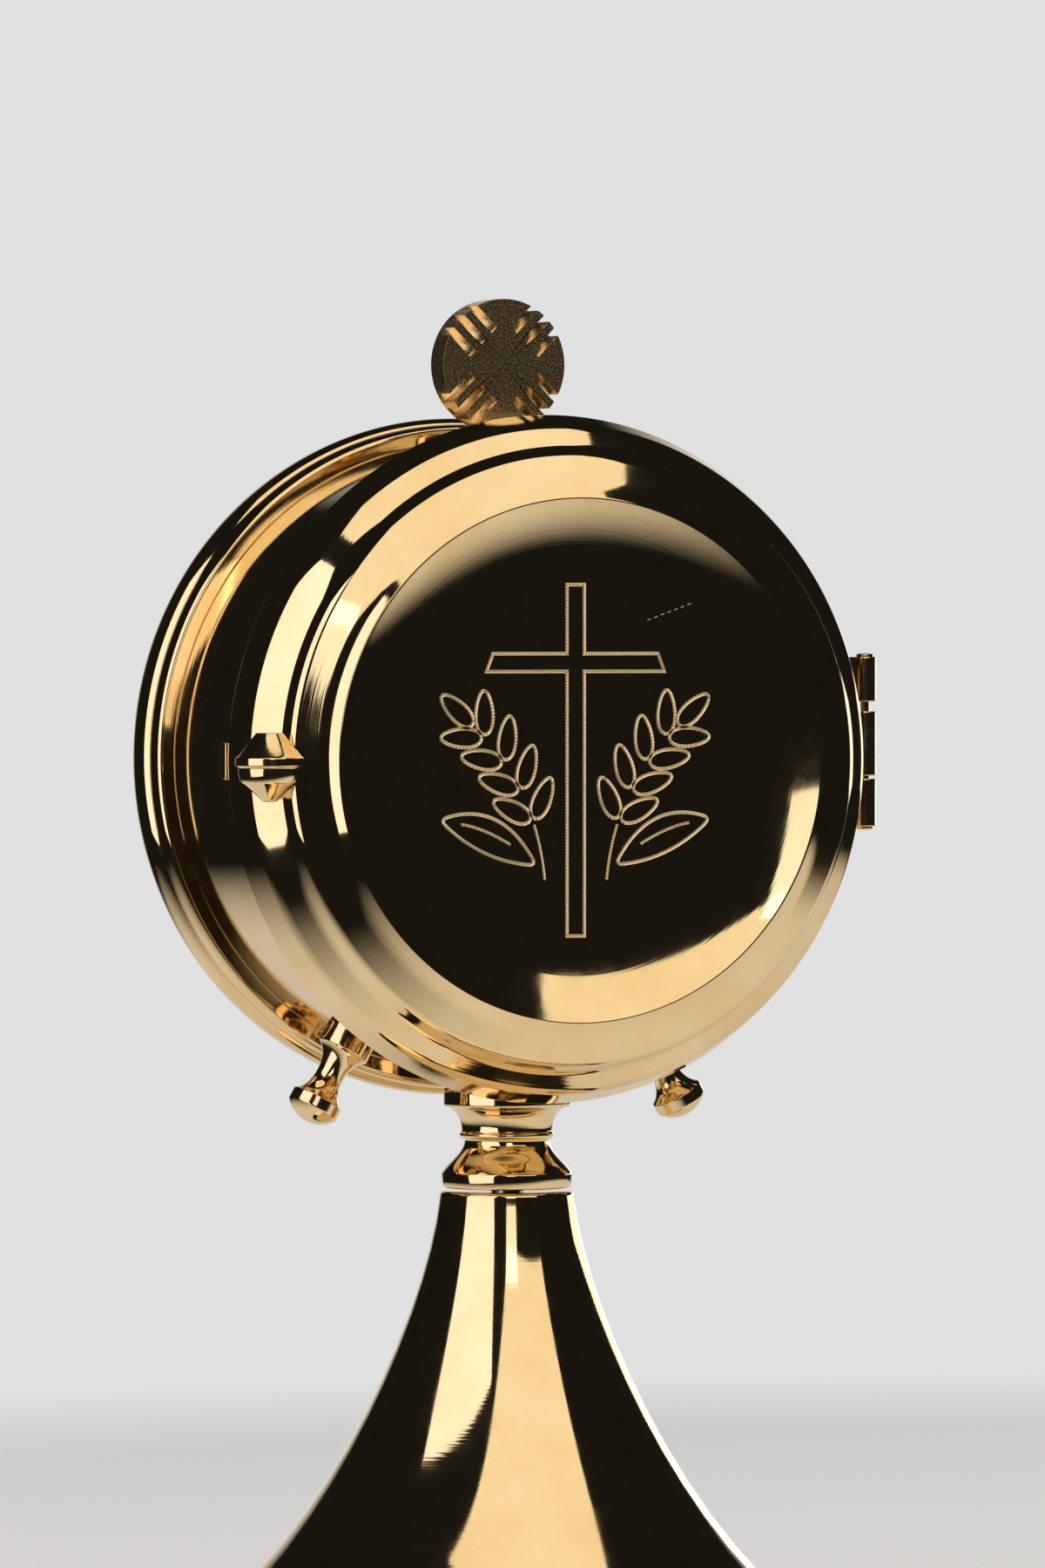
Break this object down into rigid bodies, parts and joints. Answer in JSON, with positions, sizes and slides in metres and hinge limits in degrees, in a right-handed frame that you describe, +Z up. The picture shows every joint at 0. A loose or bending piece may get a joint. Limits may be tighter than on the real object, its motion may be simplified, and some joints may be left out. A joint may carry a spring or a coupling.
{
  "type": "luna holder",
  "caption": "Standing round metal case with a hinged stepped lid, thumb catch, disc finial and side studs, on a turned neck and trumpet foot, for holding a luna upright.",
  "frame": {"origin": "on the table, under the stand's axis, at the centre of the foot", "axes": "+Z up; the lid faces -Y; +X to the right of someone who faces the lid, where the hinge is"},
  "size_m": [0.1, 0.1, 0.1825],
  "materials": {
    "polished_gold": "mirror-polished gold plate",
    "satin_gold": "satin gold plate",
    "plain_brass": "turned, unpolished",
    "steel": "zinc-plated",
    "felt": "pressed wool felt"
  },
  "bodies": {
    "stand": {"drum_shell": "polished_gold", "front_bezel": "polished_gold", "rear_cover": "polished_gold", "catch_keeper": "polished_gold", "hinge_fixed_leaf": "polished_gold", "hinge_pin": "polished_gold", "luna_rest": "satin_gold", "finial_disc": "satin_gold", "finial_stem": "polished_gold", "finial_nut": "plain_brass", "side_stud_left": "polished_gold", "side_stud_right": "polished_gold", "stud_screw_left": "plain_brass", "stud_screw_right": "plain_brass", "drum_saddle": "polished_gold", "neck_knop": "polished_gold", "foot_shell": "polished_gold", "base_plate": "plain_brass", "base_felt": "felt", "tie_rod": "steel", "rod_washer": "steel", "rod_nut": "steel"},
    "lid": {"front_lid": "polished_gold", "thumb_catch": "polished_gold", "hinge_lid_leaf": "polished_gold"}
  },
  "joints": [
    {"name": "lid_hinge", "type": "hinge", "parent": "stand", "child": "lid", "pos_m": [0.04645, -0.0119, 0.122], "axis": [0, 0, 1], "range_deg": [0, 120]}
  ]
}
